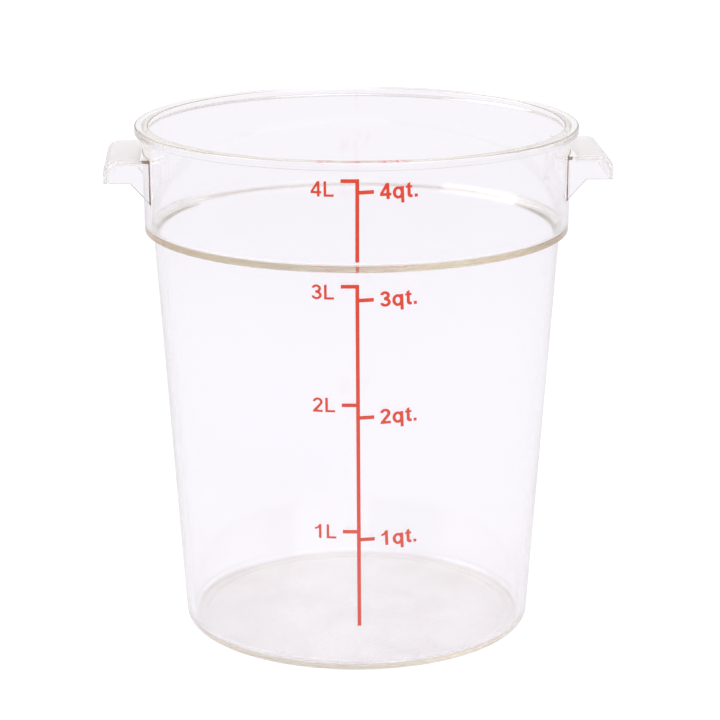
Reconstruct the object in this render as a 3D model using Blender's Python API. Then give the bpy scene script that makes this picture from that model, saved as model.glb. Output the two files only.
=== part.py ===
"""Round clear food storage container with a printed measuring scale.

Metres, +Z up. The origin is the middle of the foot, the handles point along X
and the scale faces -Y. All the clear plastic is one moulding: floor, tapered
wall, stacking ledge, collar, rim and both hollow handles. The scale is ink on
the outside of the wall. Each line with its ticks is one print, and each
numeral, letter and full stop beside it is another.
"""

import math

import bmesh
import bpy
from mathutils import Matrix, Vector

# Tub, outside
FOOT_RADIUS = 0.0731
SHOULDER_RADIUS = 0.0847
SHOULDER_HEIGHT = 0.1706
LEDGE_WIDTH = 0.0036
COLLAR_HEIGHT = 0.0439
COLLAR_FLARE = 0.00015
RIM_OVERHANG = 0.00335
RIM_DEPTH = 0.0033

# Tub, walls and base
WALL = 0.0025
FLOOR = 0.0020
FOOT_RING_WIDTH = 0.0045
FOOT_RING_DEPTH = 0.0005

# Tub, rounded corners
BASE_CORNER = 0.0032
FLOOR_CORNER = 0.0030
LEDGE_CORNER = 0.0005
LEDGE_ROOT = 0.0006
STEP_CORNER = 0.0008
RIM_TOP_CORNER = 0.0008
RIM_UNDER_CORNER = 0.0005

# Handles, moulded on the collar
HANDLE_DROP = 0.0110
HANDLE_REACH = 0.0157
HANDLE_WIDTH = 0.0486
HANDLE_WALL = 0.0015
HANDLE_CORNER = 0.0050
LIP_DEPTH = 0.0097
GUSSET_REACH = 0.0048
GUSSET_DEPTH = 0.0090

# Printed scale
INK_GAP = 0.0003
INK_THICKNESS = 0.0002
LINE_WIDTH = 0.0015
TICK_REACH = 0.0064
COLLAR_LINE_START = 0.0044
WALL_LINE_START = 0.0208
LITRE_CAP_HEIGHT = 0.0060
QUART_CAP_HEIGHT = 0.0063
LABEL_GAP = 0.0021
SCALE_TURN = math.radians(-2.65)
WALL_LINE_LEAN = math.radians(0.35)
LITRE_TILT = math.radians(0.5)
QUART_TILT = math.radians(2.5)

# Places of the graduations, as shares of the collar's and the wall's height
COLLAR_LITRE_SHARES = {4: 0.827}
COLLAR_QUART_SHARES = {4: 0.724}
WALL_LITRE_SHARES = {3: 0.964, 2: 0.678, 1: 0.363}
WALL_QUART_SHARES = {3: 0.931, 2: 0.647, 1: 0.343}

# Lettering, in shares of its cap height
LITRE_STROKE_SHARE = 0.17
QUART_STROKE_SHARE = 0.20
LITRE_DROP_SHARES = {4: 0.52, 3: 0.38, 2: 0.0, 1: 0.0}
# A bar and the top or bottom of a curve are thinner than a stem, by this share of the stem
BAR_SHARE = 0.88
ADVANCE_SHARES = {"numeral": 0.77, "letter_l": 0.85, "letter_q": 0.85, "letter_t": 0.46}

# Facets and helpers
TUB_STEPS = 72
CORNER_STEPS = 3
CURVE_STEPS = 10
OVERRUN = 0.0050
WELD = 0.000001
SMOOTH_ANGLE = math.radians(30)

# Places worked out from the sizes above
HEIGHT = SHOULDER_HEIGHT + COLLAR_HEIGHT
COLLAR_RADIUS = SHOULDER_RADIUS + LEDGE_WIDTH
COLLAR_TOP_RADIUS = COLLAR_RADIUS + COLLAR_FLARE
RIM_RADIUS = COLLAR_TOP_RADIUS + RIM_OVERHANG
RIM_UNDERSIDE = HEIGHT - RIM_DEPTH
FLOOR_TOP = FOOT_RING_DEPTH + FLOOR
HANDLE_TOP = HEIGHT - HANDLE_DROP
LIP_BOTTOM = HANDLE_TOP - LIP_DEPTH


def clear_scene():
    """Removes what the startup file left in the scene."""
    for item in list(bpy.context.scene.objects):
        bpy.data.objects.remove(item, do_unlink=True)


def material(name, color, roughness, transmission=0.0, ior=1.5):
    """A Principled material of one plain colour."""
    made = bpy.data.materials.new(name)
    made.use_nodes = True
    shader = made.node_tree.nodes["Principled BSDF"]
    shader.inputs["Base Color"].default_value = (*color, 1)
    shader.inputs["Roughness"].default_value = roughness
    shader.inputs["Metallic"].default_value = 0
    shader.inputs["Transmission Weight"].default_value = transmission
    shader.inputs["IOR"].default_value = ior
    return made


def rounded(corners):
    """The outline through corners (x, y, radius), with an arc at each corner that has a radius."""
    outline = []
    for index, (x, y, radius) in enumerate(corners):
        corner = Vector((x, y))
        if not radius:
            outline.append(corner)
            continue
        back = (Vector(corners[index - 1][:2]) - corner).normalized()
        ahead = (Vector(corners[(index + 1) % len(corners)][:2]) - corner).normalized()
        half = back.angle(ahead) / 2
        centre = corner + (back + ahead).normalized() * (radius / math.sin(half))
        start = corner + back * (radius / math.tan(half)) - centre
        turn = math.copysign(math.pi - 2 * half, back.cross(ahead))
        for step in range(CORNER_STEPS + 1):
            angle = -turn * step / CORNER_STEPS
            outline.append(centre + Matrix.Rotation(angle, 2) @ start)
    return outline


def add_object(name, bm, shade=None):
    """A new object that holds the bmesh, smooth except at its sharp edges."""
    bmesh.ops.recalc_face_normals(bm, faces=bm.faces)
    mesh = bpy.data.meshes.new(name)
    bm.to_mesh(mesh)
    bm.free()
    mesh.shade_smooth()
    mesh.set_sharp_from_angle(angle=SMOOTH_ANGLE)
    made = bpy.data.objects.new(name, mesh)
    bpy.context.scene.collection.objects.link(made)
    if shade:
        mesh.materials.append(shade)
    return made


def as_helper(made):
    """Keeps an object that only shapes another one out of the render."""
    made.hide_render = True
    made.display_type = "WIRE"
    return made


def turned(name, corners, shade=None):
    """A solid turned about Z from an open profile of corners (radius, height, fillet)."""
    bm = bmesh.new()
    verts = [bm.verts.new((point.x, 0, point.y)) for point in rounded(corners)]
    edges = [bm.edges.new(pair) for pair in zip(verts, verts[1:])]
    bmesh.ops.spin(
        bm,
        geom=verts + edges,
        axis=(0, 0, 1),
        angle=math.tau,
        steps=TUB_STEPS,
        use_merge=True,
    )
    bmesh.ops.remove_doubles(bm, verts=bm.verts, dist=WELD)
    return add_object(name, bm, shade)


def prism(name, corners, width):
    """A solid of the given width along Y, with an outline of corners (x, z, fillet)."""
    bm = bmesh.new()
    outline = [bm.verts.new((point.x, -width / 2, point.y)) for point in rounded(corners)]
    side = bm.faces.new(outline)
    moved = bmesh.ops.extrude_face_region(bm, geom=[side])["geom"]
    moved = [item for item in moved if isinstance(item, bmesh.types.BMVert)]
    bmesh.ops.translate(bm, verts=moved, vec=(0, width, 0))
    return add_object(name, bm)


def join(target, other, operation):
    """Adds a Boolean of the other object to the target."""
    boolean = target.modifiers.new(other.name, "BOOLEAN")
    boolean.operation = operation
    boolean.object = other
    boolean.solver = "EXACT"


def tub_outside(plastic):
    """The solid outer form: foot ring, tapered wall, ledge, collar and rim."""
    ring_outer = FOOT_RADIUS
    ring_inner = FOOT_RADIUS - BASE_CORNER - FOOT_RING_WIDTH
    return turned(
        "container_body",
        [
            (0, FOOT_RING_DEPTH, 0),
            (ring_inner - FOOT_RING_DEPTH, FOOT_RING_DEPTH, 0),
            (ring_inner, 0, 0),
            (ring_outer, 0, BASE_CORNER),
            (SHOULDER_RADIUS, SHOULDER_HEIGHT, LEDGE_ROOT),
            (COLLAR_RADIUS, SHOULDER_HEIGHT, LEDGE_CORNER),
            (COLLAR_TOP_RADIUS, RIM_UNDERSIDE, RIM_UNDER_CORNER),
            (RIM_RADIUS, RIM_UNDERSIDE, RIM_UNDER_CORNER),
            (RIM_RADIUS, HEIGHT, RIM_TOP_CORNER),
            (0, HEIGHT, 0),
        ],
        plastic,
    )


def tub_cavity():
    """The space inside the tub, with a rounded edge where it meets the rim's top."""
    step_height = SHOULDER_HEIGHT + WALL
    mouth_radius = COLLAR_TOP_RADIUS - WALL
    return turned(
        "cavity",
        [
            (0, FLOOR_TOP, 0),
            (FOOT_RADIUS - WALL, FLOOR_TOP, FLOOR_CORNER),
            (SHOULDER_RADIUS - WALL, step_height, STEP_CORNER),
            (COLLAR_RADIUS - WALL, step_height, STEP_CORNER),
            (mouth_radius, HEIGHT, RIM_TOP_CORNER),
            (mouth_radius + RIM_TOP_CORNER, HEIGHT, 0),
            (mouth_radius + RIM_TOP_CORNER, HEIGHT + OVERRUN, 0),
            (0, HEIGHT + OVERRUN, 0),
        ],
    )


def handle(name, turn):
    """One handle: a top plate with a turned down lip and two gussets, hollow from below."""
    gusset_end = LIP_BOTTOM - GUSSET_DEPTH
    root = math.sqrt(COLLAR_RADIUS**2 - (HANDLE_WIDTH / 2) ** 2)
    inside = root - WALL - OVERRUN
    reach = COLLAR_RADIUS + HANDLE_REACH
    block = prism(
        name,
        [
            (inside, HANDLE_TOP, 0),
            (reach, HANDLE_TOP, HANDLE_CORNER),
            (reach, LIP_BOTTOM, 0),
            (COLLAR_RADIUS + GUSSET_REACH, LIP_BOTTOM, 0),
            (root, gusset_end, 0),
            (inside, gusset_end, 0),
        ],
        HANDLE_WIDTH,
    )
    ceiling = HANDLE_TOP - HANDLE_WALL
    hollow = prism(
        name + "_hollow",
        [
            (inside - OVERRUN, ceiling, 0),
            (reach - HANDLE_WALL, ceiling, max(HANDLE_CORNER - HANDLE_WALL, 0)),
            (reach - HANDLE_WALL, gusset_end - OVERRUN, 0),
            (inside - OVERRUN, gusset_end - OVERRUN, 0),
        ],
        HANDLE_WIDTH - 2 * HANDLE_WALL,
    )
    hollow.parent = block
    join(block, as_helper(hollow), "DIFFERENCE")
    block.rotation_euler.z = turn
    return as_helper(block)


def container_body(plastic):
    """The clear moulding: the turned tub with both handles, hollowed out."""
    body = tub_outside(plastic)
    join(body, handle("right_handle", 0), "UNION")
    join(body, handle("left_handle", math.pi), "UNION")
    join(body, as_helper(tub_cavity()), "DIFFERENCE")
    return body


def wall_radius(height):
    """The outer radius of the collar or the tapered wall at a height."""
    if height > SHOULDER_HEIGHT:
        share = (height - SHOULDER_HEIGHT) / (RIM_UNDERSIDE - SHOULDER_HEIGHT)
        return COLLAR_RADIUS + COLLAR_FLARE * share
    return FOOT_RADIUS + (SHOULDER_RADIUS - FOOT_RADIUS) * height / SHOULDER_HEIGHT


def printed(name, loops, ink):
    """A film of ink from closed loops of (across, height), wrapped on the outside of the wall."""
    bm = bmesh.new()
    edges = []
    for loop in loops:
        verts = [bm.verts.new((across, 0, height)) for across, height in loop]
        edges += [bm.edges.new((verts[at - 1], verts[at])) for at in range(len(verts))]
    faces = bmesh.ops.triangle_fill(bm, edges=edges, use_beauty=True, normal=(0, -1, 0))["geom"]
    faces = [item for item in faces if isinstance(item, bmesh.types.BMFace)]
    back = list(bm.verts)
    front = bmesh.ops.extrude_face_region(bm, geom=faces)["geom"]
    front = {item for item in front if isinstance(item, bmesh.types.BMVert)}
    for vert in back + list(front):
        lift = INK_GAP + INK_THICKNESS * (vert in front)
        radius = wall_radius(vert.co.z)
        angle = SCALE_TURN + vert.co.x / radius
        radius += lift
        vert.co.x = radius * math.sin(angle)
        vert.co.y = -radius * math.cos(angle)
    return add_object(name, bm, ink)


def arc(centre, radii, start, end):
    """Points along an ellipse from one angle to another, in degrees, in either direction."""
    points = []
    for step in range(CURVE_STEPS + 1):
        angle = math.radians(start + (end - start) * step / CURVE_STEPS)
        points.append((centre[0] + radii[0] * math.cos(angle), centre[1] + radii[1] * math.sin(angle)))
    return points


def numeral_one(stroke_share):
    """A stem with a flag."""
    right_share = 0.525
    left_share = right_share - stroke_share
    flag_shares = [(0.09, 0.76), (0.09, 0.62), (0.25, 0.67)]
    stem_shares = [(left_share, 0.74), (left_share, 0), (right_share, 0), (right_share, 1)]
    shoulder_shares = [(left_share + 0.03, 1), (left_share - 0.04, 0.88), (left_share - 0.13, 0.80)]
    return [flag_shares + stem_shares + shoulder_shares]


def numeral_two(stroke_share):
    """A hook that runs down to a base bar."""
    bar_share = BAR_SHARE * stroke_share
    centre_shares, outer_shares = (0.37, 0.70), (0.33, 0.30)
    inner_shares = (outer_shares[0] - stroke_share, outer_shares[1] - bar_share)
    base_shares = [(0.33, bar_share), (0.70, bar_share), (0.70, 0), (0.035, 0), (0.06, 0.13)]
    hook_shares = arc(centre_shares, outer_shares, 172, -36)
    return [hook_shares + base_shares + arc(centre_shares, inner_shares, -42, 172)]


def numeral_three(stroke_share):
    """Two bowls, one above the other, with a short prong between them."""
    bar_share = BAR_SHARE * stroke_share
    upper_shares, lower_shares = (0.37, 0.73), (0.38, 0.285)
    upper_outer_shares, lower_outer_shares = (0.31, 0.27), (0.34, 0.285)
    upper_inner_shares = (upper_outer_shares[0] - stroke_share, upper_outer_shares[1] - bar_share)
    lower_inner_shares = (lower_outer_shares[0] - stroke_share, lower_outer_shares[1] - bar_share)
    prong_shares = [(0.30, 0.52 - bar_share / 2), (0.30, 0.52 + bar_share / 2)]
    return [
        arc(upper_shares, upper_outer_shares, 168, -44)
        + arc(lower_shares, lower_outer_shares, 48, -170)
        + arc(lower_shares, lower_inner_shares, -170, 68)
        + prong_shares
        + arc(upper_shares, upper_inner_shares, -68, 168)
    ]


def numeral_four(stroke_share):
    """A stem crossed by a bar, with a slanted stroke that leaves a triangular opening."""
    tip_share, right_share, end_share, foot_share = 0.035, 0.62, 0.73, 0.21
    left_share = right_share - stroke_share
    bar_share = foot_share + BAR_SHARE * stroke_share
    top_share = right_share - stroke_share
    slope = (1 - bar_share) / (top_share - tip_share)
    inset_share = tip_share + BAR_SHARE * stroke_share / math.sin(math.atan(slope))
    outer_shares = [
        (left_share, 0),
        (right_share, 0),
        (right_share, foot_share),
        (end_share, foot_share),
        (end_share, bar_share),
        (right_share, bar_share),
        (right_share, 1),
        (top_share, 1),
        (tip_share, bar_share),
        (tip_share, foot_share),
        (left_share, foot_share),
    ]
    opening_shares = [
        (inset_share, bar_share),
        (left_share, bar_share + (left_share - inset_share) * slope),
        (left_share, bar_share),
    ]
    return [outer_shares, opening_shares]


def letter_l(stroke_share):
    """A capital L."""
    left_share, right_share = 0.11, 0.76
    inner_share = left_share + stroke_share
    bar_share = BAR_SHARE * stroke_share
    bar_shares = [(left_share, 0), (right_share, 0), (right_share, bar_share)]
    return [bar_shares + [(inner_share, bar_share), (inner_share, 1), (left_share, 1)]]


def letter_q(stroke_share):
    """A small q: a bowl on a stem that runs below the line."""
    right_share, top_share, foot_share = 0.747, 0.74, -0.28
    left_share = right_share - stroke_share
    centre_shares, outer_shares = (0.39, 0.365), (0.345, 0.385)
    inner_shares = (outer_shares[0] - stroke_share, outer_shares[1] - BAR_SHARE * stroke_share)
    start = math.degrees(math.acos((left_share - centre_shares[0]) / outer_shares[0]))
    foot_shares = [(left_share, foot_share), (right_share, foot_share)]
    top_shares = [(right_share, top_share), (left_share, top_share)]
    return [
        foot_shares + top_shares + arc(centre_shares, outer_shares, start, 360 - start),
        arc(centre_shares, inner_shares, 0, 360)[:-1],
    ]


def letter_t(stroke_share):
    """A small t with a slanted top and a foot that curls to the right."""
    start_share, left_share, end_share, curl_share = 0.015, 0.11, 0.43, 0.19
    low_share, high_share = 0.61, 0.74
    right_share = left_share + stroke_share
    foot_share = BAR_SHARE * stroke_share
    foot_shares = [(end_share, 0), (end_share, foot_share), (right_share + 0.04, foot_share)]
    arm_shares = [(right_share, low_share), (end_share, low_share), (end_share, high_share)]
    top_shares = [(right_share, high_share), (right_share, 0.95), (left_share, 0.86)]
    return [
        [(start_share, high_share), (start_share, low_share), (left_share, low_share)]
        + arc((left_share + curl_share, curl_share), (curl_share, curl_share), 180, 270)
        + foot_shares
        + [(right_share, foot_share + 0.05)]
        + arm_shares
        + top_shares
        + [(left_share, high_share)]
    ]


def full_stop(stroke_share):
    """A square full stop."""
    left_share = 0.09
    right_share = left_share + stroke_share
    return [[(left_share, 0), (right_share, 0), (right_share, stroke_share), (left_share, stroke_share)]]


NUMERALS = {1: numeral_one, 2: numeral_two, 3: numeral_three, 4: numeral_four}


def line_shift(height, top):
    """How far the line below the ledge has leaned to the right at a height, from its top."""
    return (top - height) * math.tan(WALL_LINE_LEAN) if height < SHOULDER_HEIGHT else 0


def label(name, glyphs, start, height, cap, stroke_share, tilt, ink):
    """One print for each glyph, in a row about a height, turned by the tilt about the line."""
    rotation = Matrix.Rotation(tilt, 2)
    for glyph, draw in glyphs:
        loops = []
        for loop in draw(stroke_share):
            flat = [rotation @ Vector((start + x * cap, (y - 0.5) * cap)) for x, y in loop]
            loops.append([(point.x, height + point.y) for point in flat])
        printed(f"{name}_{glyph}", loops, ink)
        start += ADVANCE_SHARES.get(glyph, 0) * cap


def labels(litres, quarts, wall_top, ink):
    """The litre labels left of the line and the quart labels right of it."""
    offset = TICK_REACH + LABEL_GAP
    for value, height in litres.items():
        glyphs = [("numeral", NUMERALS[value]), ("letter_l", letter_l)]
        width = sum(ADVANCE_SHARES[glyph] for glyph, _ in glyphs) * LITRE_CAP_HEIGHT
        start = line_shift(height, wall_top) - offset - width
        height -= LITRE_DROP_SHARES[value] * LITRE_CAP_HEIGHT
        name = f"litre_{value}"
        label(name, glyphs, start, height, LITRE_CAP_HEIGHT, LITRE_STROKE_SHARE, LITRE_TILT, ink)
    for value, height in quarts.items():
        glyphs = [("numeral", NUMERALS[value]), ("letter_q", letter_q)]
        glyphs += [("letter_t", letter_t), ("stop", full_stop)]
        start = line_shift(height, wall_top) + offset
        name = f"quart_{value}"
        label(name, glyphs, start, height, QUART_CAP_HEIGHT, QUART_STROKE_SHARE, QUART_TILT, ink)


def tick(height, side):
    """The corners of a tick, going up on the right side of the line and down on the left."""
    tilt = QUART_TILT if side > 0 else LITRE_TILT
    far = height + side * TICK_REACH * math.tan(tilt)
    half = LINE_WIDTH / 2
    near_across, far_across = side * half, side * TICK_REACH
    corners = [(near_across, height - half), (far_across, far - half)]
    corners += [(far_across, far + half), (near_across, height + half)]
    return corners if side > 0 else corners[::-1]


def scale_line(name, bottom, litres, quarts, ink):
    """A line with litre ticks to the left, the top one flush with its end, and quart ticks to the right."""
    half = LINE_WIDTH / 2
    top = max(litres) + half
    outline = [(half, bottom)]
    for height in sorted(quarts):
        outline += tick(height, 1)
    outline.append((half, top))
    for height in sorted(litres, reverse=True):
        outline += tick(height, -1)
    outline.append((-half, bottom))
    printed(name, [[(across + line_shift(height, top), height) for across, height in outline]], ink)


def heights(collar_shares, wall_shares):
    """Heights of the graduations above the foot, from their shares of the collar and the wall."""
    found = {value: SHOULDER_HEIGHT + share * COLLAR_HEIGHT for value, share in collar_shares.items()}
    found.update({value: share * SHOULDER_HEIGHT for value, share in wall_shares.items()})
    return found


def printed_scale(ink):
    """Both lines with their ticks, and the labels."""
    litres = heights(COLLAR_LITRE_SHARES, WALL_LITRE_SHARES)
    quarts = heights(COLLAR_QUART_SHARES, WALL_QUART_SHARES)
    on_collar = [[found[value] for value in COLLAR_LITRE_SHARES] for found in (litres, quarts)]
    on_wall = [[found[value] for value in WALL_LITRE_SHARES] for found in (litres, quarts)]
    scale_line("scale_line_upper", SHOULDER_HEIGHT + COLLAR_LINE_START, *on_collar, ink)
    scale_line("scale_line_lower", WALL_LINE_START, *on_wall, ink)
    labels(litres, quarts, max(on_wall[0]), ink)


def main():
    """Builds the container."""
    clear_scene()
    container_body(material("clear_polycarbonate", (0.95, 0.94, 0.97), 0.03, 1.0, 1.585))
    printed_scale(material("orange_red_ink", (0.86, 0.08, 0.04), 0.45))


main()
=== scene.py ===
"""Looks of a round clear food storage container with a printed measuring scale.

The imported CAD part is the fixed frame. The clear moulding is built again with
rounded edges and filleted handles, and the print lies on the wall as a film.
Metres, +Z up, the handles along X and the scale towards -Y, as in the CAD part.
"""

from __future__ import annotations

import logging
import math
from dataclasses import dataclass, field
from enum import Enum

import bmesh
import bpy
from bmesh.types import BMEdge, BMesh, BMVert
from bpy.types import Material, Node, NodeOutputs, NodeSocket, NodeTree, Object
from mathutils import Matrix, Vector


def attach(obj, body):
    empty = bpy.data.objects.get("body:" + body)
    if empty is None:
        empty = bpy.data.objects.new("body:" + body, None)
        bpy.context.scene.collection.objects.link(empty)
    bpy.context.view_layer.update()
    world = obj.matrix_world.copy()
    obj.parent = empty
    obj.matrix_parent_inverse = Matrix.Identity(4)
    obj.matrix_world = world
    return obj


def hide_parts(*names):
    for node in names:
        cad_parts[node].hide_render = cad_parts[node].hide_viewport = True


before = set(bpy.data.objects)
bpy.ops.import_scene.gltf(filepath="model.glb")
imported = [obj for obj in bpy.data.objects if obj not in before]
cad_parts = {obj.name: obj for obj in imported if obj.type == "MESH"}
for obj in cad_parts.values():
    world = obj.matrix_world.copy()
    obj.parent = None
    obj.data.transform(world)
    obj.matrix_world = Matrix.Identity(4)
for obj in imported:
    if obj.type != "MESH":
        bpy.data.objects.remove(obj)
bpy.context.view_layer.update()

LOG = logging.getLogger("container")
BODY = "root"
WELD = 0.000001
Pair = tuple[float, float]
Corner = tuple[float, float, float]
Colour = tuple[float, float, float]
Loop = list[Pair]


class Operation(Enum):
    """The Boolean operations that the moulding needs."""

    ADD = "UNION"
    CUT = "DIFFERENCE"


class Slot(Enum):
    """The record's material slots."""

    PLASTIC = "clear_polycarbonate"
    INK = "orange_red_ink"


# Mesh tools


def rounded(corners: list[Corner], steps: int) -> list[Vector]:
    """Rounds the corners of an outline.

    Args:
        corners: Corners as (x, y, radius).
        steps: Segments of each arc.

    Returns:
        The points along the outline.
    """
    outline = []
    for index, (x, y, radius) in enumerate(corners):
        corner = Vector((x, y))
        if not radius:
            outline.append(corner)
            continue
        back = (Vector(corners[index - 1][:2]) - corner).normalized()
        ahead = (Vector(corners[(index + 1) % len(corners)][:2]) - corner).normalized()
        half = back.angle(ahead) / 2
        centre = corner + (back + ahead).normalized() * (radius / math.sin(half))
        start = corner + back * (radius / math.tan(half)) - centre
        turn = math.copysign(math.pi - 2 * half, back.cross(ahead))
        for step in range(steps + 1):
            outline.append(centre + Matrix.Rotation(-turn * step / steps, 2) @ start)
    return outline


def spun(corners: list[Corner], arc_steps: int, steps: int) -> BMesh:
    """Turns an open profile about Z into a closed solid.

    Args:
        corners: The profile as (radius, height, fillet), from the axis back to the axis.
        arc_steps: Segments of each fillet.
        steps: Segments of the turn.

    Returns:
        The solid as a bmesh.
    """
    bm = bmesh.new()
    verts = [bm.verts.new((point.x, 0, point.y)) for point in rounded(corners, arc_steps)]
    edges = [bm.edges.new(pair) for pair in zip(verts, verts[1:])]
    bmesh.ops.spin(
        bm,
        geom=verts + edges,
        axis=(0, 0, 1),
        angle=math.tau,
        steps=steps,
        use_merge=True,
    )
    bmesh.ops.remove_doubles(bm, verts=bm.verts, dist=WELD)
    bmesh.ops.recalc_face_normals(bm, faces=bm.faces)
    return bm


def round_edges(bm: BMesh, edges: list[BMEdge], width: float, steps: int) -> None:
    """Rounds edges of a bmesh.

    Args:
        bm: The bmesh.
        edges: The edges to round.
        width: How far the rounding reaches from each edge.
        steps: Segments of the rounding.
    """
    bmesh.ops.bevel(
        bm,
        geom=edges,
        offset=width,
        offset_type="OFFSET",
        segments=steps,
        profile=0.5,
        affect="EDGES",
        clamp_overlap=True,
        material=-1,
    )


def moved_verts(made: dict) -> list[BMVert]:
    """The vertices in what an extrusion returned."""
    return [item for item in made["geom"] if isinstance(item, BMVert)]


def as_object(name: str, bm: BMesh) -> Object:
    """Puts a bmesh in a new object of the scene and frees it.

    Args:
        name: The object's name.
        bm: The finished bmesh.

    Returns:
        The new object, at the origin.
    """
    mesh = bpy.data.meshes.new(name)
    bm.to_mesh(mesh)
    bm.free()
    made = bpy.data.objects.new(name, mesh)
    bpy.context.scene.collection.objects.link(made)
    return made


def combine(target: Object, other: Object, operation: Operation) -> None:
    """Adds a Boolean to the target's modifiers.

    Args:
        target: The object to change.
        other: The object to add or cut.
        operation: What the Boolean does.
    """
    boolean = target.modifiers.new(other.name, "BOOLEAN")
    boolean.operation = operation.value
    boolean.object = other
    boolean.solver = "EXACT"


def apply_all(target: Object, helpers: list[Object]) -> None:
    """Applies the target's modifiers and removes the helpers that they read.

    Args:
        target: The object to finish.
        helpers: Objects that only shaped the target.
    """
    graph = bpy.context.evaluated_depsgraph_get()
    finished = bpy.data.meshes.new_from_object(target.evaluated_get(graph))
    target.modifiers.clear()
    target.data = finished
    for helper in helpers:
        bpy.data.objects.remove(helper, do_unlink=True)


def smooth(target: Object, angle: float) -> None:
    """Shades an object smooth except across edges sharper than the angle in degrees."""
    target.data.shade_smooth()
    target.data.set_sharp_from_angle(angle=math.radians(angle))


# Node tools


@dataclass
class NodeSheet:
    """Adds and links shader nodes in one node tree."""

    tree: NodeTree

    def add(self, kind: str, **settings: object) -> Node:
        """Adds a node.

        Args:
            kind: The node's type without the ShaderNode prefix.
            settings: Properties of the node, such as operation.

        Returns:
            The new node.
        """
        node = self.tree.nodes.new("ShaderNode" + kind)
        for name, value in settings.items():
            setattr(node, name, value)
        return node

    def feed(self, node: Node, values: dict[str | int, object]) -> Node:
        """Sets inputs of a node.

        Args:
            node: The node.
            values: The socket or the plain value for each input, by the input's name or place.

        Returns:
            The node.
        """
        for name, value in values.items():
            socket = node.inputs[name]
            if isinstance(value, NodeSocket):
                self.tree.links.new(value, socket)
            else:
                socket.default_value = (*value, 1.0) if socket.type == "RGBA" else value
        return node

    def maths(self, operation: str, first: object, second: object, clamp: bool = False) -> NodeSocket:
        """Adds a Math node.

        Args:
            operation: The node's operation.
            first: A socket or a number.
            second: A socket or a number.
            clamp: Whether the result stays from 0 to 1.

        Returns:
            The node's output.
        """
        node = self.add("Math", operation=operation, use_clamp=clamp)
        return self.feed(node, {0: first, 1: second}).outputs[0]

    def span(self, value: NodeSocket, low: Pair, high: Pair) -> NodeSocket:
        """Maps a value smoothly from one range to another.

        Args:
            value: The socket to map.
            low: The lower end before and after, as (from, to).
            high: The upper end before and after, as (from, to).

        Returns:
            The mapped output.
        """
        node = self.add("MapRange", interpolation_type="SMOOTHSTEP")
        ends = zip(("From Min", "To Min", "From Max", "To Max"), low + high)
        return self.feed(node, {"Value": value, **dict(ends)}).outputs["Result"]

    def fade(self, value: NodeSocket, spread: Pair) -> NodeSocket:
        """A mask that falls from 1 to 0 while the value goes through the spread."""
        return self.span(value, (spread[0], 1.0), (spread[1], 0.0))

    def noise(self, vector: NodeSocket, scale: float, detail: float, rough: float = 0.5) -> NodeSocket:
        """Adds a Noise Texture.

        Args:
            vector: The coordinates.
            scale: Repeats to the metre.
            detail: Octaves of finer noise.
            rough: How strong the finer noise is.

        Returns:
            The noise value.
        """
        values = {"Vector": vector, "Scale": scale, "Detail": detail, "Roughness": rough}
        return self.feed(self.add("TexNoise"), values).outputs["Fac"]

    def wear(self, group: NodeTree, point: NodeSocket, waves: float, peel: float) -> NodeOutputs:
        """Places the surface wear group.

        Args:
            group: The surface wear group.
            point: The coordinates.
            waves: How strong the slow waves are.
            peel: How strong the fine unevenness is.

        Returns:
            The group's outputs.
        """
        node = self.add("Group", node_tree=group)
        return self.feed(node, {"Vector": point, "Waves": waves, "Peel": peel}).outputs

    def bump(self, height: NodeSocket, distance: float) -> NodeSocket:
        """The surface direction on a relief of a height times a distance."""
        return self.feed(self.add("Bump"), {"Height": height, "Distance": distance}).outputs[0]

    def split(self, vector: NodeSocket) -> NodeOutputs:
        """The X, Y and Z of a vector."""
        return self.feed(self.add("SeparateXYZ"), {0: vector}).outputs

    def mix(self, share: NodeSocket, first: object, second: object) -> NodeSocket:
        """Mixes two colours.

        Args:
            share: How much of the second colour shows, from 0 to 1.
            first: A colour or a socket.
            second: A colour or a socket.

        Returns:
            The mixed colour.
        """
        node = self.add("Mix", data_type="RGBA")
        colours = [place for place, socket in enumerate(node.inputs) if socket.type == "RGBA"]
        self.feed(node, {"Factor": share, colours[0]: first, colours[1]: second})
        return next(socket for socket in node.outputs if socket.type == "RGBA")


def new_material(name: str) -> tuple[Material, NodeSheet, Node]:
    """Starts a material with a Principled shader.

    Args:
        name: The material's name.

    Returns:
        The material, its node sheet and its Principled node.
    """
    made = bpy.data.materials.new(name)
    made.use_nodes = True
    return made, NodeSheet(made.node_tree), made.node_tree.nodes["Principled BSDF"]


def new_group(name: str, inputs: list[str], outputs: list[str]) -> tuple[NodeSheet, Node, Node]:
    """Starts a shader node group of plain number sockets.

    Args:
        name: The group's name.
        inputs: Names of its number inputs, after a Vector input.
        outputs: Names of its number outputs.

    Returns:
        The group's node sheet, its input node and its output node.
    """
    tree = bpy.data.node_groups.new(name, "ShaderNodeTree")
    tree.interface.new_socket("Vector", in_out="INPUT", socket_type="NodeSocketVector")
    for socket in inputs:
        tree.interface.new_socket(socket, in_out="INPUT", socket_type="NodeSocketFloat")
    for socket in outputs:
        tree.interface.new_socket(socket, in_out="OUTPUT", socket_type="NodeSocketFloat")
    return NodeSheet(tree), tree.nodes.new("NodeGroupInput"), tree.nodes.new("NodeGroupOutput")


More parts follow.
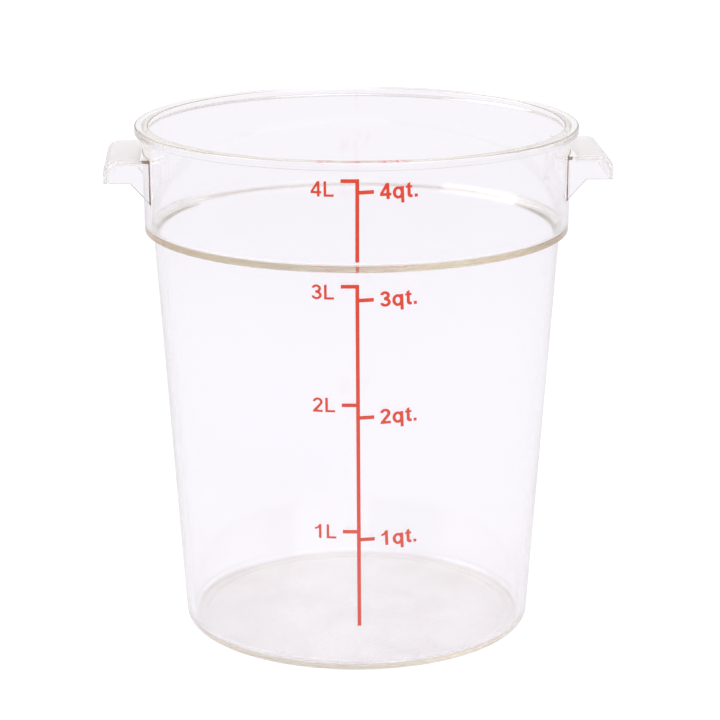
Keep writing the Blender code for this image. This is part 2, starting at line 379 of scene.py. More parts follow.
@dataclass
class SurfaceWear:
    """A node group of slow waves in a moulded surface and of fine hairline scuffs on it."""

    waves_scale: float = 26.0
    waves_detail: float = 1.0
    peel_scale: float = 420.0
    peel_detail: float = 2.0
    scuff_scale: float = 900.0
    scuff_detail: float = 3.0
    scuff_rough: float = 0.6
    scuff_stretch: tuple[float, float, float] = (0.35, 0.35, 0.06)
    scuff_turn: tuple[float, float, float] = (0.4, 0.2, 0.3)
    scuff_from: float = 0.60
    scuff_to: float = 0.74
    patch_scale: float = 44.2
    patch_low: Pair = (0.40, 0.7)
    patch_high: Pair = (0.62, 1.0)

    def build(self) -> NodeTree:
        """Builds the group.

        Returns:
            The node group, with outputs Height and Scuffs.
        """
        sheet, start, end = new_group("surface_wear", ["Waves", "Peel"], ["Height", "Scuffs"])
        vector = start.outputs["Vector"]
        waves = sheet.noise(vector, self.waves_scale, self.waves_detail)
        peel = sheet.noise(vector, self.peel_scale, self.peel_detail)
        height = sheet.maths(
            "ADD",
            sheet.maths("MULTIPLY", waves, start.outputs["Waves"]),
            sheet.maths("MULTIPLY", peel, start.outputs["Peel"]),
        )
        values = {"Vector": vector, "Rotation": self.scuff_turn, "Scale": self.scuff_stretch}
        turned = sheet.feed(sheet.add("Mapping"), values).outputs["Vector"]
        lines = sheet.noise(turned, self.scuff_scale, self.scuff_detail, self.scuff_rough)
        patches = sheet.noise(vector, self.patch_scale, self.waves_detail)
        masked = sheet.maths("MULTIPLY", lines, sheet.span(patches, self.patch_low, self.patch_high))
        scuffs = sheet.span(masked, (self.scuff_from, 0.0), (self.scuff_to, 1.0))
        sheet.feed(end, {"Height": height, "Scuffs": scuffs})
        return sheet.tree


@dataclass(frozen=True)
class ClearPlastic:
    """Clear moulded polycarbonate, polished, with a frosted underside and grained handle plates."""

    tint: Colour = (0.995, 0.990, 1.0)
    absorbed: Colour = (0.55, 0.40, 0.0)
    density: float = 2.2
    ior: float = 1.585
    polish: float = 0.055
    scuffed: float = 0.12
    waves_height: float = 0.35
    peel_height: float = 0.010
    bump_distance: float = 0.00025
    frosted: float = 0.30
    frost_height: float = 0.0008
    frost_bump: float = 0.25
    frost_scale: float = 2600.0
    frost_detail: float = 2.0
    mottled: Colour = (0.90, 0.865, 0.905)
    mottle_scale: float = 48.0
    mottle_detail: float = 3.0
    mottle_from: float = 0.36
    mottle_to: float = 0.64
    grained: float = 0.42
    grained_from: float = 0.0890
    grained_half: float = 0.0238
    grained_levels: Pair = (0.1985, 0.2037)
    brow_from: float = 0.0988
    plate_level: float = 0.2033

    def plates(self, sheet: NodeSheet, place: NodeOutputs) -> NodeSocket:
        """Marks the tops and the brows of both handles.

        Args:
            sheet: The material's node sheet.
            place: The point's X, Y and Z.

        Returns:
            A mask, 1 on the plates and 0 elsewhere.
        """
        low, high = self.grained_levels
        across = sheet.maths("ABSOLUTE", place["X"], 0.0)
        along = sheet.maths("ABSOLUTE", place["Y"], 0.0)
        on_top = sheet.maths("GREATER_THAN", place["Z"], self.plate_level)
        mask = sheet.maths("MAXIMUM", sheet.maths("GREATER_THAN", across, self.brow_from), on_top)
        for bound in (
            sheet.maths("GREATER_THAN", place["Z"], low),
            sheet.maths("LESS_THAN", place["Z"], high),
            sheet.maths("GREATER_THAN", across, self.grained_from),
            sheet.maths("LESS_THAN", along, self.grained_half),
        ):
            mask = sheet.maths("MULTIPLY", mask, bound)
        return mask

    def build(self, wear: NodeTree) -> Material:
        """Builds the material.

        Args:
            wear: The surface wear group.

        Returns:
            The material.
        """
        made, sheet, shader = new_material("clear_polycarbonate_finish")
        point = sheet.add("TexCoord").outputs["Object"]
        place = sheet.split(point)
        surface = sheet.wear(wear, point, self.waves_height, self.peel_height)

        below = sheet.maths("LESS_THAN", place["Z"], self.frost_height)
        clouds = sheet.noise(point, self.mottle_scale, self.mottle_detail)
        clouds = sheet.span(clouds, (self.mottle_from, 0.0), (self.mottle_to, 1.0))
        colour = sheet.mix(sheet.maths("MULTIPLY", clouds, below), self.tint, self.mottled)

        frost = sheet.maths("MULTIPLY", below, self.frosted)
        grain = sheet.maths("MULTIPLY", self.plates(sheet, place), self.grained)
        worn = sheet.span(surface["Scuffs"], (0.0, self.polish), (1.0, self.scuffed))
        rough = sheet.maths("MAXIMUM", worn, sheet.maths("MAXIMUM", frost, grain))

        crystals = sheet.noise(point, self.frost_scale, self.frost_detail)
        frosting = sheet.maths("MULTIPLY", crystals, sheet.maths("MULTIPLY", below, self.frost_bump))
        relief = sheet.maths("ADD", surface["Height"], frosting)
        values = {
            "Base Color": colour,
            "Metallic": 0.0,
            "Roughness": rough,
            "IOR": self.ior,
            "Transmission Weight": 1.0,
            "Normal": sheet.bump(relief, self.bump_distance),
        }
        sheet.feed(shader, values)

        depth = sheet.feed(sheet.add("VolumeAbsorption"), {"Color": self.absorbed, "Density": self.density})
        sheet.feed(made.node_tree.nodes["Material Output"], {"Volume": depth.outputs["Volume"]})
        return made


@dataclass(frozen=True)
class PrintedInk:
    """Screen-printed orange-red ink, made paler towards the foot by a painted reflection of the pale floor.
    """

    upper: Colour = (0.95, 0.090, 0.048)
    # The lower colour is the ink made paler by a painted reflection of the pale floor.
    lower: Colour = (0.92, 0.165, 0.125)
    # The painted reflection is full below the first of these heights and gone above the second.
    painted_reflection_full_below: float = 0.03
    painted_reflection_gone_above: float = 0.19
    specular: float = 0.2
    roughness: float = 0.38
    scuffed: float = 0.58
    peel_height: float = 0.05
    bump_distance: float = 0.0001
    mottle: float = 0.06
    mottle_scale: float = 1500.0
    mottle_detail: float = 3.0
    mottle_from: float = 0.3
    mottle_to: float = 0.7

    def build(self, wear: NodeTree) -> Material:
        """Builds the material.

        Args:
            wear: The surface wear group.

        Returns:
            The material.
        """
        made, sheet, shader = new_material("printed_ink_finish")
        point = sheet.add("TexCoord").outputs["Object"]
        # Painted reflection of the floor: the ink fades to the paler lower colour towards the foot.
        unreflected_share = sheet.span(sheet.split(point)["Z"], (self.painted_reflection_full_below, 0.0), (self.painted_reflection_gone_above, 1.0))
        mottle = sheet.span(
            sheet.noise(point, self.mottle_scale, self.mottle_detail),
            (self.mottle_from, 1.0 - self.mottle),
            (self.mottle_to, 1.0 + self.mottle),
        )
        colour = sheet.mix(unreflected_share, self.lower, self.upper)
        shade = sheet.feed(sheet.add("HueSaturation"), {"Color": colour, "Value": mottle})
        surface = sheet.wear(wear, point, 0.0, self.peel_height)
        values = {
            "Base Color": shade.outputs["Color"],
            "Metallic": 0.0,
            "Roughness": sheet.span(surface["Scuffs"], (0.0, self.roughness), (1.0, self.scuffed)),
            "Specular IOR Level": self.specular,
            "Normal": sheet.bump(surface["Height"], self.bump_distance),
        }
        sheet.feed(shader, values)
        return made


# The container


@dataclass
class Handle:
    """One hollow handle: a top plate that turns down into a lip, with a gusset at each side.

    A side face's edges are rounded where it meets a face that is turned up or out.
    """

    top: float = 0.2035
    reach: float = 0.1040
    width: float = 0.0486
    wall: float = 0.0015
    lip_depth: float = 0.0097
    gusset_reach: float = 0.0931
    gusset_depth: float = 0.0090
    inside: float = 0.0775
    root: float = 0.0849
    brow: float = 0.0050
    edge: float = 0.0010
    edge_steps: int = 4
    steps: int = 12
    facing: float = 0.9
    leaning: float = 0.1

    def block(self, name: str, inset: float, drop: float) -> Object:
        """Builds the handle's outer form or the hollow inside it.

        Args:
            name: The object's name.
            inset: How far the lip, the top and the sides lie inside the outer form.
            drop: How far the underside reaches below the outer form's.

        Returns:
            The solid.
        """
        reach = self.reach - inset
        low = self.top - self.lip_depth
        foot = low - self.gusset_depth - drop
        if inset:
            outline = [(reach, foot, 0), (self.inside - inset, foot, 0)]
        else:
            outline = [(reach, low, 0), (self.gusset_reach, low, 0)]
            outline += [(self.root, foot, 0), (self.inside, foot, 0)]
        outline.append((self.inside - inset, self.top - inset, 0))
        outline.append((reach, self.top - inset, self.brow - inset))
        half = self.width / 2 - inset
        bm = bmesh.new()
        points = rounded(outline, self.steps)
        side = bm.faces.new([bm.verts.new((point.x, -half, point.y)) for point in points])
        far = bmesh.ops.extrude_face_region(bm, geom=[side])
        bmesh.ops.translate(bm, verts=moved_verts(far), vec=(0, 2 * half, 0))
        bmesh.ops.recalc_face_normals(bm, faces=bm.faces)
        edges = [edge for edge in bm.edges if self.is_outer(edge)]
        round_edges(bm, edges, self.edge, self.edge_steps)
        return as_object(name, bm)

    def is_outer(self, edge: BMEdge) -> bool:
        """Finds the edges of the side faces along the top, the brow and the lip.

        Args:
            edge: An edge of the handle's block.

        Returns:
            Whether the edge is one of them.
        """
        normals = [face.normal for face in edge.link_faces]
        at_side = any(abs(normal.y) > self.facing for normal in normals)
        return at_side and any(normal.z > self.leaning or normal.x > self.facing for normal in normals)

    def build(self, name: str, turn: float) -> Object:
        """Builds one handle.

        Args:
            name: The helper's name.
            turn: Its turn about the tub's axis, in radians.

        Returns:
            The hollow handle as a closed helper.
        """
        block = self.block(name, 0.0, 0.0)
        hollow = self.block(name + "_hollow", self.wall, self.wall)
        combine(block, hollow, Operation.CUT)
        apply_all(block, [hollow])
        block.data.transform(Matrix.Rotation(turn, 4, "Z"))
        return block


@dataclass
class ClearTub:
    """The clear moulding: floor, foot ring, tapered wall, ledge, collar, rim and handles.

    The foot ring is shallower than on the CAD part and the foot's outer corner is rounder, for the
    photograph's plain disc and thin edge. The CAD part has no gate mark.
    """

    height: float = 0.2145
    foot_radius: float = 0.0731
    shoulder_radius: float = 0.0847
    shoulder_height: float = 0.1706
    collar_radius: float = 0.0883
    collar_top_radius: float = 0.08845
    rim_radius: float = 0.0918
    rim_depth: float = 0.0033
    rim_inner_corner: float = 0.0009
    wall: float = 0.0025
    floor_top: float = 0.0025
    ring_inner: float = 0.0654
    ring_depth: float = 0.00012
    ring_slope: float = 0.0008
    ring_corner: float = 0.0001
    gate_radius: float = 0.0013
    gate_depth: float = 0.00012
    gate_corner: float = 0.00004
    foot_fillet: float = 0.0040
    floor_fillet: float = 0.0030
    ledge_root: float = 0.0006
    ledge_corner: float = 0.0005
    rim_under_corner: float = 0.0005
    rim_top_corner: float = 0.0008
    slope_below: float = 0.0006
    slope_above: float = 0.0034
    shoulder_fillet: float = 0.0008
    overrun: float = 0.0050
    arc_steps: int = 8
    steps: int = 280
    fillet: float = 0.0004
    fillet_steps: int = 3
    sharp: float = 32.0
    handle: Handle = field(default_factory=Handle)

    def outside(self) -> BMesh:
        """Builds the solid outer form.

        Returns:
            The form, without its handles.
        """
        rim_underside = self.height - self.rim_depth
        return spun(
            [
                (0, self.ring_depth - self.gate_depth, 0),
                (self.gate_radius, self.ring_depth - self.gate_depth, self.gate_corner),
                (self.gate_radius, self.ring_depth, self.gate_corner),
                (self.ring_inner - self.ring_slope, self.ring_depth, self.ring_corner),
                (self.ring_inner, 0, self.ring_corner),
                (self.foot_radius, 0, self.foot_fillet),
                (self.shoulder_radius, self.shoulder_height, self.ledge_root),
                (self.collar_radius, self.shoulder_height, self.ledge_corner),
                (self.collar_top_radius, rim_underside, self.rim_under_corner),
                (self.rim_radius, rim_underside, self.rim_under_corner),
                (self.rim_radius, self.height, self.rim_top_corner),
                (0, self.height, 0),
            ],
            self.arc_steps,
            self.steps,
        )

    def cavity(self) -> BMesh:
        """Builds the space inside the tub.

        Returns:
            The space, with a sloped shoulder and a mouth rounded into the rim's top.
        """
        mouth = self.collar_top_radius - self.wall
        lip = self.rim_inner_corner
        slope_foot = self.shoulder_height - self.slope_below
        slope_top = self.shoulder_height + self.slope_above
        return spun(
            [
                (0, self.floor_top, 0),
                (self.foot_radius - self.wall, self.floor_top, self.floor_fillet),
                (self.shoulder_radius - self.wall, slope_foot, self.shoulder_fillet),
                (self.collar_radius - self.wall, slope_top, self.shoulder_fillet),
                (mouth, self.height, lip),
                (mouth + lip, self.height, 0),
                (mouth + lip, self.height + self.overrun, 0),
                (0, self.height + self.overrun, 0),
            ],
            self.arc_steps,
            self.steps,
        )

    def at_handle(self, edge: BMEdge) -> bool:
        """Finds the sharp edges on a handle and where it meets the collar.

        Args:
            edge: An edge of the moulding.

        Returns:
            Whether the edge is one of them.
        """
        handle = self.handle
        low = handle.top - handle.lip_depth - handle.gusset_depth
        middle = (edge.verts[0].co + edge.verts[1].co) / 2
        across = abs(middle.x) > self.shoulder_radius - self.wall / 2
        along = abs(middle.y) < handle.width / 2 + self.overrun
        level = low - self.overrun < middle.z < handle.top + self.overrun / 2
        outside = middle.xy.length > self.collar_radius - self.wall / 2
        if not (across and along and level and outside and len(edge.link_faces) == 2):
            return False
        return edge.calc_face_angle() > math.radians(self.sharp)

    def fillet_edges(self, target: Object) -> None:
        """Rounds the sharp edges of the handles and where they meet the collar.

        Args:
            target: The whole moulding.
        """
        bm = bmesh.new()
        bm.from_mesh(target.data)
        bmesh.ops.remove_doubles(bm, verts=bm.verts, dist=WELD)
        bmesh.ops.dissolve_degenerate(bm, dist=WELD, edges=bm.edges)
        edges = [edge for edge in bm.edges if self.at_handle(edge)]
        round_edges(bm, edges, self.fillet, self.fillet_steps)
        bmesh.ops.remove_doubles(bm, verts=bm.verts, dist=WELD)
        still_open = sum(not edge.is_manifold for edge in bm.edges)
        LOG.info("filleted %d edges, %d open edges", len(edges), still_open)
        bm.to_mesh(target.data)
        bm.free()

    def build(self, finish: Material) -> Object:
        """Builds the moulding and puts it in place of its CAD node.

        Args:
            finish: The clear plastic.

        Returns:
            The piece.
        """
        tub = as_object("clear_tub", self.outside())
        right = self.handle.build("right_handle_form", 0.0)
        left = self.handle.build("left_handle_form", math.pi)
        hollow = as_object("tub_hollow", self.cavity())
        combine(tub, right, Operation.ADD)
        combine(tub, left, Operation.ADD)
        combine(tub, hollow, Operation.CUT)
        apply_all(tub, [right, left, hollow])
        self.fillet_edges(tub)
        smooth(tub, self.sharp)
        flat = tub.modifiers.new("flat_faces", "WEIGHTED_NORMAL")
        flat.keep_sharp = True
        apply_all(tub, [])
        tub.data.materials.clear()
        tub.data.materials.append(finish)
        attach(tub, BODY)
        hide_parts("container_body")
        return tub

    def outer_radius(self, height: float) -> float:
        """Measures the collar or the tapered wall.

        Args:
            height: A height on it.

        Returns:
            Its outer radius there.
        """
        if height > self.shoulder_height:
            share = (height - self.shoulder_height) / (self.height - self.rim_depth - self.shoulder_height)
            return self.collar_radius + (self.collar_top_radius - self.collar_radius) * share
        return self.foot_radius + (self.shoulder_radius - self.foot_radius) * height / self.shoulder_height


@dataclass(frozen=True)
class Lettering:
    """Outlines of the scale's numerals and letters, in shares of their cap height.

    A bar and the top or bottom of a curve are a little thinner than a stem.
    """

    stem: float
    bar_share: float = 0.88
    curve_steps: int = 24

    @property
    def bar(self) -> float:
        """The thickness of a bar."""
        return self.bar_share * self.stem

    def inner(self, outer: Pair) -> Pair:
        """The half sizes of the ellipse inside a stroke, from the one outside it."""
        return outer[0] - self.stem, outer[1] - self.bar

    def arc(self, centre: Pair, radii: Pair, start: float, end: float) -> Loop:
        """Follows an ellipse.

        Args:
            centre: Its middle.
            radii: Its half sizes.
            start: The first angle in degrees.
            end: The last angle in degrees.

        Returns:
            The points from the first angle to the last.
        """
        points = []
        for step in range(self.curve_steps + 1):
            angle = math.radians(start + (end - start) * step / self.curve_steps)
            across, up = radii[0] * math.cos(angle), radii[1] * math.sin(angle)
            points.append((centre[0] + across, centre[1] + up))
        return points

    def numeral_1(self) -> list[Loop]:
        """Draws a stem with a flag.

        Returns:
            Its outline.
        """
        right = 0.525
        left = right - self.stem
        flag = [(0.09, 0.76), (0.09, 0.62), (0.25, 0.67), (left, 0.74)]
        top = [(left + 0.03, 1), (left - 0.04, 0.88), (left - 0.13, 0.80)]
        return [flag + [(left, 0), (right, 0), (right, 1)] + top]

    def numeral_2(self) -> list[Loop]:
        """Draws a hook that runs down to a base bar.

        Returns:
            Its outline.
        """
        centre, outer = (0.37, 0.70), (0.33, 0.30)
        base = [(0.33, self.bar), (0.70, self.bar), (0.70, 0), (0.035, 0), (0.06, 0.13)]
        hook = self.arc(centre, self.inner(outer), -42, 172)
        return [self.arc(centre, outer, 172, -36) + base + hook]

    def numeral_3(self) -> list[Loop]:
        """Draws two bowls, one above the other, with a short prong between them.

        Returns:
            Their outline.
        """
        upper, lower = (0.37, 0.73), (0.38, 0.285)
        upper_outer, lower_outer = (0.31, 0.27), (0.34, 0.285)
        prong = [(0.30, 0.52 - self.bar / 2), (0.30, 0.52 + self.bar / 2)]
        return [
            self.arc(upper, upper_outer, 168, -44)
            + self.arc(lower, lower_outer, 48, -170)
            + self.arc(lower, self.inner(lower_outer), -170, 68)
            + prong
            + self.arc(upper, self.inner(upper_outer), -68, 168)
        ]

    def numeral_4(self) -> list[Loop]:
        """Draws a stem crossed by a bar, with a slanted stroke.

        Returns:
            Its outline and its triangular opening.
        """
        tip, right, end, foot = 0.035, 0.62, 0.73, 0.21
        left = right - self.stem
        bar = foot + self.bar
        slope = (1 - bar) / (left - tip)
        inset = tip + self.bar / math.sin(math.atan(slope))
        outer = [(left, 0), (right, 0), (right, foot), (end, foot), (end, bar), (right, bar)]
        outer += [(right, 1), (left, 1), (tip, bar), (tip, foot), (left, foot)]
        return [outer, [(inset, bar), (left, bar + (left - inset) * slope), (left, bar)]]

    def letter_l(self) -> list[Loop]:
        """Draws a capital L.

        Returns:
            Its outline.
        """
        left, right = 0.11, 0.76
        inner = left + self.stem
        return [[(left, 0), (right, 0), (right, self.bar), (inner, self.bar), (inner, 1), (left, 1)]]

    def letter_q(self) -> list[Loop]:
        """Draws a small q, a bowl on a stem that runs below the line.

        Returns:
            Its outline and its opening.
        """
        right, top, foot = 0.747, 0.74, -0.28
        left = right - self.stem
        centre, outer = (0.39, 0.365), (0.345, 0.385)
        start = math.degrees(math.acos((left - centre[0]) / outer[0]))
        stem = [(left, foot), (right, foot), (right, top), (left, top)]
        bowl = self.arc(centre, self.inner(outer), 0, 360)[:-1]
        return [stem + self.arc(centre, outer, start, 360 - start), bowl]

    def letter_t(self) -> list[Loop]:
        """Draws a small t with a slanted top and a foot that curls to the right.

        Returns:
            Its outline.
        """
        start, left, end, curl = 0.015, 0.11, 0.43, 0.19
        low, high = 0.61, 0.74
        right = left + self.stem
        foot = [(end, 0), (end, self.bar), (right + 0.04, self.bar), (right, self.bar + 0.05)]
        top = [(right, low), (end, low), (end, high), (right, high)]
        top += [(right, 0.95), (left, 0.86), (left, high)]
        arm = [(start, high), (start, low), (left, low)]
        return [arm + self.arc((left + curl, curl), (curl, curl), 180, 270) + foot + top]

    def stop(self) -> list[Loop]:
        """Draws a square full stop."""
        left, right = 0.09, 0.09 + self.stem
        return [[(left, 0), (right, 0), (right, self.stem), (left, self.stem)]]


@dataclass(frozen=True)
class ScaleSide:
    """The ticks and labels on one side of the scale.

    A tick's place is a share of the collar's height, from the ledge to the rim's top, or of the
    wall's. A glyph's advance, and how far a label drops below its tick, are shares of the cap.
    """

    word: str
    side: int
    cap: float
    stem: float
    tilt: float
    advances: dict[str, float]
    collar_shares: dict[int, float]
    wall_shares: dict[int, float]
    drops: dict[int, float]

    def on_collar(self, tub: ClearTub) -> dict[int, float]:
        """The heights of the ticks on the collar, by the number that they stand for."""
        foot, collar = tub.shoulder_height, tub.height - tub.shoulder_height
        return {value: foot + share * collar for value, share in self.collar_shares.items()}

    def on_wall(self, tub: ClearTub) -> dict[int, float]:
        """The heights of the ticks on the wall, by the number that they stand for."""
        return {value: share * tub.shoulder_height for value, share in self.wall_shares.items()}


@dataclass
class MeasuringScale:
    """The printed scale: two lines with their ticks, and a label at each tick."""

    tub: ClearTub
    turn: float = math.radians(-2.65)
    lean: float = math.radians(0.35)
    sunk: float = 0.00002
    proud: float = 0.00005
    corner: float = 0.00009
    corner_room: float = 0.45
    corner_steps: int = 4
    sharp: float = 40.0
    strip: float = 0.0009
    line_width: float = 0.0015
    reach: float = 0.0064
    gap: float = 0.0021
    upper_start: float = 0.0044
    lower_start: float = 0.0208
    litres: ScaleSide = ScaleSide(
        word="litre",
        side=-1,
        cap=0.0060,
        stem=0.17,
        tilt=math.radians(0.5),
        advances={"numeral": 0.77, "letter_l": 0.85},
        collar_shares={4: 0.827},
        wall_shares={3: 0.964, 2: 0.678, 1: 0.363},
        drops={4: 0.52, 3: 0.38},
    )
    quarts: ScaleSide = ScaleSide(
        word="quart",
        side=1,
        cap=0.0063,
        stem=0.20,
        tilt=math.radians(2.5),
        advances={"numeral": 0.77, "letter_q": 0.85, "letter_t": 0.46, "stop": 0.0},
        collar_shares={4: 0.724},
        wall_shares={3: 0.931, 2: 0.647, 1: 0.343},
        drops={},
    )
    pieces: list[Object] = field(default_factory=list)

    def shift(self, height: float) -> float:
        """How far the lower line has leaned to the right at a height."""
        top = max(self.litres.on_wall(self.tub).values()) + self.line_width / 2
        return (top - height) * math.tan(self.lean) if height < self.tub.shoulder_height else 0.0

    def softened(self, loop: Loop) -> list[Vector]:
        """Rounds the sharp corners of a loop, as ink does.

        Args:
            loop: The loop.

        Returns:
            Its points, with an arc at each sharp corner.
        """
        corners = []
        for index, point in enumerate(loop):
            here = Vector(point)
            back = Vector(loop[index - 1]) - here
            ahead = Vector(loop[(index + 1) % len(loop)]) - here
            half = back.angle(ahead) / 2
            is_sharp = math.degrees(math.pi - 2 * half) > self.sharp
            room = self.corner_room * min(back.length, ahead.length) * math.tan(half)
            corners.append((*point, min(self.corner, room) if is_sharp else 0.0))
        return rounded(corners, self.corner_steps)

    def film(self, name: str, loops: list[Loop], ink: Material) -> None:
        """Lays a film of ink on the wall, in place of the CAD node of the same name.

        Args:
            name: The CAD node that it replaces.
            loops: Closed loops as (across, height), an outer one and its openings.
            ink: The ink.
        """
        bm = bmesh.new()
        edges = []
        for loop in loops:
            verts = [bm.verts.new((point.x, 0, point.y)) for point in self.softened(loop)]
            edges += [bm.edges.new((verts[at - 1], verts[at])) for at in range(len(verts))]
        bmesh.ops.triangle_fill(bm, edges=edges, use_beauty=True, normal=(0, -1, 0))
        across = [vert.co.x for vert in bm.verts]
        first, last = math.ceil(min(across) / self.strip), math.floor(max(across) / self.strip)
        for cut in range(first, last + 1):
            everything = bm.verts[:] + bm.edges[:] + bm.faces[:]
            place = (cut * self.strip, 0, 0)
            bmesh.ops.bisect_plane(bm, geom=everything, plane_co=place, plane_no=(1, 0, 0))
        front = set(moved_verts(bmesh.ops.extrude_face_region(bm, geom=bm.faces[:])))
        for vert in bm.verts:
            radius = self.tub.outer_radius(vert.co.z)
            angle = self.turn + vert.co.x / radius
            radius += self.proud if vert in front else -self.sunk
            vert.co.x, vert.co.y = radius * math.sin(angle), -radius * math.cos(angle)
        bmesh.ops.recalc_face_normals(bm, faces=bm.faces)
        piece = as_object(name + "_print", bm)
        smooth(piece, self.sharp)
        piece.data.materials.append(ink)
        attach(piece, BODY)
        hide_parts(name)
        self.pieces.append(piece)

    def tick(self, height: float, row: ScaleSide) -> Loop:
        """Draws a tick, going up on the right side of the line and down on the left.

        Args:
            height: Its height on the line.
            row: Its side of the scale.

        Returns:
            Its corners.
        """
        half = self.line_width / 2
        far = height + row.side * self.reach * math.tan(row.tilt)
        corners = [(row.side * half, height - half), (row.side * self.reach, far - half)]
        corners += [(row.side * self.reach, far + half), (row.side * half, height + half)]
        return corners if row.side > 0 else corners[::-1]

    def line(
        self, name: str, bottom: float, litres: list[float], quarts: list[float], ink: Material
    ) -> None:
        """Prints a line with litre ticks to its left and quart ticks to its right.

        The top litre tick is flush with the line's end.

        Args:
            name: The CAD node that it replaces.
            bottom: The height of its lower end.
            litres: The heights of its litre ticks, the highest first.
            quarts: The heights of its quart ticks, the highest first.
            ink: The ink.
        """
        half = self.line_width / 2
        outline = [(half, bottom)]
        for height in reversed(quarts):
            outline += self.tick(height, self.quarts)
        outline.append((half, litres[0] + half))
        for height in litres:
            outline += self.tick(height, self.litres)
        outline.append((-half, bottom))
        self.film(name, [[(across + self.shift(height), height) for across, height in outline]], ink)

    def label(self, row: ScaleSide, value: int, height: float, ink: Material) -> None:
        """Prints one label, a film for each glyph.

        Args:
            row: Its side of the scale.
            value: The number that it gives.
            height: The height of its tick.
            ink: The ink.
        """
        start = self.shift(height) + row.side * (self.reach + self.gap)
        if row.side < 0:
            start -= sum(row.advances.values()) * row.cap
        height -= row.drops.get(value, 0.0) * row.cap
        rotation = Matrix.Rotation(row.tilt, 2)
        lettering = Lettering(row.stem)
        for glyph, advance in row.advances.items():
            draw = getattr(lettering, f"numeral_{value}" if glyph == "numeral" else glyph)
            loops = []
            for loop in draw():
                flat = [rotation @ Vector((start + x * row.cap, (y - 0.5) * row.cap)) for x, y in loop]
                loops.append([(point.x, height + point.y) for point in flat])
            self.film(f"{row.word}_{value}_{glyph}", loops, ink)
            start += advance * row.cap

    def build(self, ink: Material) -> list[Object]:
        """Prints the whole scale.

        Args:
            ink: The ink.

        Returns:
            The films.
        """
        rows = (self.litres, self.quarts)
        upper = [list(row.on_collar(self.tub).values()) for row in rows]
        lower = [list(row.on_wall(self.tub).values()) for row in rows]
        self.line("scale_line_upper", self.tub.shoulder_height + self.upper_start, *upper, ink)
        self.line("scale_line_lower", self.lower_start, *lower, ink)
        for row in rows:
            for value, height in {**row.on_collar(self.tub), **row.on_wall(self.tub)}.items():
                self.label(row, value, height, ink)
        return self.pieces


# Studio


@dataclass(frozen=True)
class Lamp:
    """A wide, soft, far lamp.

    Its strength is its light on a surface that faces it. Its width, its azimuth from the camera's
    side and its elevation are in degrees.
    """

    name: str
    strength: float
    width: float
    azimuth: float
    elevation: float

    def build(self) -> None:
        """Builds the lamp."""
        data = bpy.data.lights.new(self.name, "SUN")
        data.energy = self.strength
        data.angle = math.radians(self.width)
        made = bpy.data.objects.new(self.name, data)
        turn, rise = math.radians(self.azimuth), math.radians(self.elevation)
        level = math.cos(rise)
        away = Vector((math.sin(turn) * level, -math.cos(turn) * level, math.sin(rise)))
        made.rotation_euler = away.to_track_quat("Z", "Y").to_euler()
        bpy.context.scene.collection.objects.link(made)


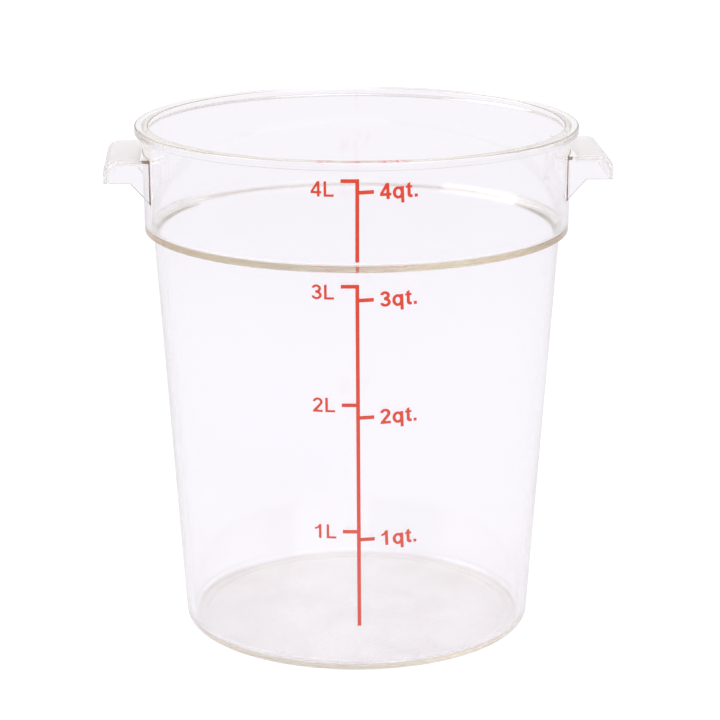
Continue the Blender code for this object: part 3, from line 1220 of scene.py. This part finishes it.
@dataclass
class Studio:
    """The pale floor, the surroundings, the lamps and the camera.

    A floor lift is the floor's own light to one kind of ray: straight from the camera, through the
    plastic, or mirrored in it. A level is the height of a direction, 0 at the horizon and 1 straight
    up. A spread is where a dim part fades out, in the height or the depth of a direction.
    """

    floor_size: float = 60.0
    floor_gap: float = 0.00005
    floor_roughness: float = 0.9
    floor_colour: Colour = (0.49, 0.49, 0.51)
    floor_light: Colour = (0.98, 0.985, 1.04)
    floor_lift: float = 0.58
    floor_lift_behind: float = 0.43
    floor_lift_mirrored: float = 0.28
    bright_radius: float = 0.40
    far_radius: float = 0.90
    far_lift: float = 0.90
    white: Colour = (1.0, 1.0, 1.0)
    dim_colour: Colour = (0.10, 0.10, 0.10)
    wall_colour: Colour = (0.66, 0.56, 0.52)
    ceiling_colour: Colour = (0.94, 0.94, 0.96)
    white_level: float = 0.40
    wall_level: float = 0.50
    wall_top_level: float = 0.70
    ceiling_level: float = 0.80
    front_spread: Pair = (-0.60, -0.25)
    low_spread: Pair = (0.25, 0.40)
    horizon_spread: Pair = (0.05, 0.14)
    lamps: tuple[Lamp, ...] = (
        Lamp("key_lamp", 0.90, 40.0, -112.0, 47.0),
        Lamp("fill_lamp", 0.95, 60.0, 15.0, 28.0),
    )
    distance: float = 1.07136
    camera_height: float = 0.4012
    pitch: float = 15.091
    heading: float = 2.82
    aside: float = 0.0766
    lens: float = 130.86
    sensor: float = 36.0
    clip: Pair = (0.01, 100.0)
    bounces: int = 128

    def floor(self) -> None:
        """Builds the floor, a plain pale plane under the object."""
        bm = bmesh.new()
        bmesh.ops.create_grid(bm, x_segments=1, y_segments=1, size=self.floor_size / 2)
        bmesh.ops.translate(bm, verts=bm.verts, vec=(0, 0, -self.floor_gap))
        plane = as_object("floor", bm)
        made, sheet, shader = new_material("floor_finish")
        paths = sheet.add("LightPath").outputs
        through = paths["Is Transmission Ray"]
        mirrored = sheet.maths("SUBTRACT", paths["Is Glossy Ray"], through, clamp=True)
        place = sheet.split(sheet.add("TexCoord").outputs["Object"])
        flat = sheet.feed(sheet.add("CombineXYZ"), {"X": place["X"], "Y": place["Y"]})
        radius = sheet.feed(sheet.add("VectorMath", operation="LENGTH"), {0: flat.outputs[0]})
        radius = radius.outputs["Value"]
        across = sheet.span(radius, (self.bright_radius, 1.0), (self.far_radius, self.far_lift))
        behind = sheet.maths("MULTIPLY", across, self.floor_lift_behind)
        lift = sheet.maths(
            "ADD",
            sheet.maths("MULTIPLY", paths["Is Camera Ray"], self.floor_lift),
            sheet.maths("MULTIPLY", through, behind),
        )
        lift = sheet.maths("ADD", lift, sheet.maths("MULTIPLY", mirrored, self.floor_lift_mirrored))
        values = {
            "Base Color": self.floor_colour,
            "Roughness": self.floor_roughness,
            "Specular IOR Level": 0.0,
            "Emission Color": self.floor_light,
            "Emission Strength": lift,
        }
        sheet.feed(shader, values)
        plane.data.materials.append(made)

    def surroundings(self) -> None:
        """Sets the world: white to the camera, and to the plastic a room that is dim near the horizon."""
        world = bpy.data.worlds.new("studio")
        bpy.context.scene.world = world
        world.use_nodes = True
        sheet = NodeSheet(world.node_tree)
        place = sheet.split(sheet.add("TexCoord").outputs["Generated"])
        ramp = sheet.feed(sheet.add("ValToRGB"), {0: place["Z"]})
        stops = ramp.color_ramp.elements
        stops[0].position, stops[0].color = self.white_level, (*self.white, 1.0)
        stops[1].position, stops[1].color = self.wall_level, (*self.wall_colour, 1.0)
        stops.new(self.wall_top_level).color = (*self.wall_colour, 1.0)
        stops.new(self.ceiling_level).color = (*self.ceiling_colour, 1.0)
        ahead = sheet.fade(place["Y"], self.front_spread)
        low = sheet.fade(place["Z"], self.low_spread)
        horizon = sheet.fade(place["Z"], self.horizon_spread)
        dim = sheet.maths("MAXIMUM", sheet.maths("MULTIPLY", ahead, low), horizon)
        room = sheet.mix(dim, ramp.outputs["Color"], self.dim_colour)
        seen = sheet.mix(sheet.add("LightPath").outputs["Is Camera Ray"], room, self.white)
        sheet.feed(world.node_tree.nodes["Background"], {"Color": seen})

    def camera(self) -> None:
        """Places the camera at the photograph's angle."""
        data = bpy.data.cameras.new("camera")
        data.sensor_width = self.sensor
        data.lens = self.lens
        data.clip_start, data.clip_end = self.clip
        made = bpy.data.objects.new("camera", data)
        heading = math.radians(self.heading)
        across, along = self.distance * math.sin(heading), self.distance * math.cos(heading)
        made.location = (-across, -along, self.camera_height)
        made.rotation_euler = (math.radians(90 - self.pitch), 0, -heading - math.radians(self.aside))
        bpy.context.scene.collection.objects.link(made)
        bpy.context.scene.camera = made

    def build(self) -> None:
        """Builds the whole studio."""
        self.floor()
        self.surroundings()
        for lamp in self.lamps:
            lamp.build()
        self.camera()
        scene = bpy.context.scene
        scene.view_settings.view_transform = "Standard"
        scene.cycles.max_bounces = self.bounces
        scene.cycles.transmission_bounces = self.bounces
        scene.cycles.glossy_bounces = self.bounces
        scene.cycles.blur_glossy = 0.0


def main() -> None:
    """Builds the studio and the container, piece by piece."""
    logging.basicConfig(level=logging.INFO, format="%(name)s: %(message)s")
    Studio().build()
    wear = SurfaceWear().build()
    tub = ClearTub()
    piece = tub.build(ClearPlastic().build(wear))
    LOG.info("%s: %d faces", piece.name, len(piece.data.polygons))
    for piece in MeasuringScale(tub).build(PrintedInk().build(wear)):
        LOG.info("%s: %d faces", piece.name, len(piece.data.polygons))


if __name__ == "__main__":
    main()
